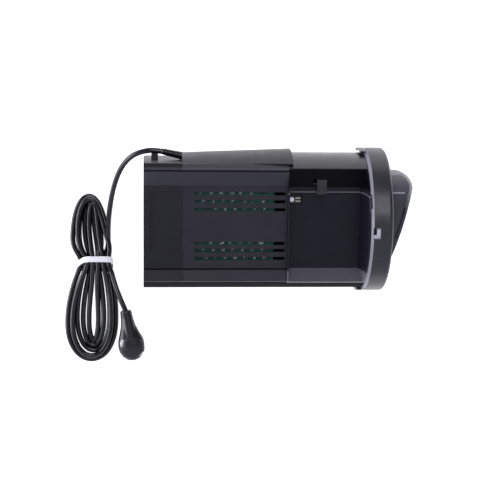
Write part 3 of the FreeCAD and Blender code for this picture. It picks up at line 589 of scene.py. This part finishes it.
def make_strain_relief(kinds):
    """A tapered, ribbed boot where the lead leaves the side cover."""
    length = (BOOT_TIP - BOOT_BASE).length
    profile = [(0.0, BOOT_RADIUS)]
    pitch = (length - 0.006) / BOOT_RIBS
    for i in range(BOOT_RIBS):
        start = 0.004 + (length - 0.006) * i / BOOT_RIBS
        radius = BOOT_RADIUS - BOOT_TAPER * i / BOOT_RIBS
        groove = radius - BOOT_GROOVE
        profile += [(start, radius), (start + pitch * 0.55, radius), (start + pitch * 0.65, groove),
                    (start + pitch * 0.95, groove)]
    profile += [(length - 0.001, 0.0042), (length, 0.00385)]
    bm = bmesh.new()
    lathe(bm, BOOT_BASE, BOOT_TIP - BOOT_BASE, profile)
    boot = piece_from(bm, "strain_relief", kinds["cord_rubber"])
    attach(boot, "housing")
    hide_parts("cable_gland")
    return boot


# The tie's loop seen along the strands, as a closed curve's control points: x and height in millimetres
TIE_LOOP = [(-268.5, 0.8), (-273.0, 5.0), (-268.5, 11.5), (-260.5, 17.4), (-245.0, 17.2), (-228.0, 17.4),
            (-221.6, 15.0), (-221.2, 6.0), (-223.4, 1.1), (-245.0, 0.7)]

TIE_BAND, TIE_THICK = 8.2, 1.1
TIE_FOOT_Y, TIE_LEAN, TIE_TOP = -93.0, 18.5, 17.7
TIE_OUTSIDE = [(0.0, -0.30), (0.07, 0.0), (0.5, 0.12), (0.93, 0.0), (1.0, -0.30)]


def closed_curve(points, steps):
    """Points along the closed quadratic B-spline with these control points."""
    line = []
    count = len(points)
    for i in range(count):
        a, b, c = (Vector(points[(i + k) % count]) for k in range(3))
        for j in range(steps):
            t = j / steps
            line.append(a * (1 - t) ** 2 / 2 + b * (0.5 + t - t * t) + c * t * t / 2)
    return line


def make_tie(kinds):
    """A soft plastic band round the hank's waist, its top pulled towards the pump."""
    line = closed_curve(TIE_LOOP, 10)
    middle = sum(line, Vector((0, 0))) / len(line)
    bm = bmesh.new()
    rings = []
    for before, here, after in zip(line[-1:] + line[:-1], line, line[1:] + line[:1]):
        along = (after - before).normalized()
        out = Vector((along.y, -along.x))
        if out.dot(here - middle) < 0:
            out = -out
        y = TIE_FOOT_Y + TIE_LEAN * (max(here.y, 0.0) / TIE_TOP) ** 0.8
        ring = [(here + out * rise, across) for across, rise in TIE_OUTSIDE]
        ring += [(here - out * TIE_THICK, across) for across in (1.0, 0.5, 0.0)]
        rings.append([bm.verts.new((p.x * MM, (y + TIE_BAND * across) * MM, max(p.y, 0.05) * MM))
                      for p, across in ring])
    for ring, following in zip(rings, rings[1:] + rings[:1]):
        count = len(ring)
        for i in range(count):
            bm.faces.new((ring[i], ring[(i + 1) % count], following[(i + 1) % count], following[i]))
    tie = piece_from(bm, "hank_tie", kinds["tie_white"])
    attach(tie, "housing")
    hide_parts("cord_tie")
    return tie


def make_plug(kinds):
    """The moulded plug: its CAD shape inside a fuller, flattened bulb, all edges melted together."""
    bm = bmesh.new()
    bm.from_mesh(NODES["plug_body"].data)
    bmesh.ops.remove_doubles(bm, verts=bm.verts, dist=1e-6)
    centre = sum((v.co for v in bm.verts), Vector()) / len(bm.verts)
    for vertex in bm.verts:
        vertex.co = centre + (vertex.co - centre) * PLUG_CORE_SCALE
    bulb = bmesh.new()
    top, foot = Vector(PLUG_NECK_END) * MM, Vector(PLUG_FOOT) * MM
    lathe(bulb, top, foot - top, [(along * MM, radius * MM) for along, radius in PLUG_PROFILE])
    for vertex in bulb.verts:
        share = (vertex.co - top).dot(foot - top) / (foot - top).length_squared
        line_z = top.z + (foot.z - top.z) * share
        flat = 1 - (1 - PLUG_FLATNESS) * min(max(share / 0.5, 0.0), 1.0)
        vertex.co.z = line_z + (vertex.co.z - line_z) * flat
    shape = bpy.data.meshes.new("plug_bulb")
    bulb.to_mesh(shape)
    bm.from_mesh(shape)
    blank = piece_from(bm, "plug_blank", kinds["plug_rubber"])
    remesh = blank.modifiers.new("melt", "REMESH")
    remesh.mode = "VOXEL"
    remesh.voxel_size = PLUG_VOXEL
    remesh.use_smooth_shade = True
    soften = blank.modifiers.new("soften", "SMOOTH")
    soften.factor = 0.5
    soften.iterations = 7
    mesh = bpy.data.meshes.new_from_object(blank.evaluated_get(bpy.context.evaluated_depsgraph_get()))
    mesh.name = "plug_moulding"
    bpy.data.objects.remove(blank)
    plug = bpy.data.objects.new("plug_moulding", mesh)
    bpy.context.scene.collection.objects.link(plug)
    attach(plug, "housing")
    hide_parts("plug_body")
    return plug


def make_clips(kinds):
    """The plug's two earthing clips, where they come through its rubber."""
    bm = bmesh.new()
    for place, turn, lean, size in CLIPS:
        pad = bmesh.ops.create_uvsphere(bm, u_segments=24, v_segments=12, radius=MM)["verts"]
        pose = (Matrix.Translation(Vector(place) * MM) @ Matrix.Rotation(math.radians(turn), 4, "Z")
                @ Matrix.Rotation(math.radians(lean), 4, "X") @ Matrix.Diagonal((*size, 1)))
        bmesh.ops.transform(bm, matrix=pose, verts=pad)
    clips = piece_from(bm, "plug_clips", kinds["plug_metal"])
    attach(clips, "housing")
    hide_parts("plug_earth_clips")
    return clips


# Each clip's middle, its turn about the vertical, its lean about its own length, and its half sizes, in mm and degrees
CLIPS = [
    ((-208.6, -186.0, 38.2), 75.0, 30.0, (5.6, 3.2, 1.6)),
    ((-182.6, -201.6, 34.6), 34.0, -50.0, (6.4, 2.4, 1.2)),
]
# The plug's bulb: where it starts and ends, its distances along that line with their radii, and its flattening
PLUG_NECK_END = (-204.2, -141.9, 26.4)
PLUG_FOOT = (-192.5, -214.0, 30.0)
PLUG_PROFILE = [(0.0, 6.8), (1.5, 7.9), (12.0, 8.7), (22.0, 10.3), (32.0, 13.8), (41.0, 17.2), (50.0, 18.7),
                (58.0, 17.9), (65.0, 14.3), (70.0, 8.8), (72.0, 3.0)]
PLUG_FLATNESS = 0.62
PLUG_CORE_SCALE = 0.95
PLUG_VOXEL = 0.0007


def make_cord(kinds, pieces):
    lead = spline_curve("mains_lead", LEAD_ROUTE + hank_points() + TAIL_ROUTE, CORD_R)
    lead.data.materials.append(kinds["cord_rubber"])
    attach(lead, "housing")
    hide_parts("cord_lead", "cord_hank", "cord_tail")



make_camera()
make_studio()
kinds = dress_cad()
make_strain_relief(kinds)
make_cord(kinds, [make_tie(kinds), make_plug(kinds), NODES["plug_pins"], make_clips(kinds)])
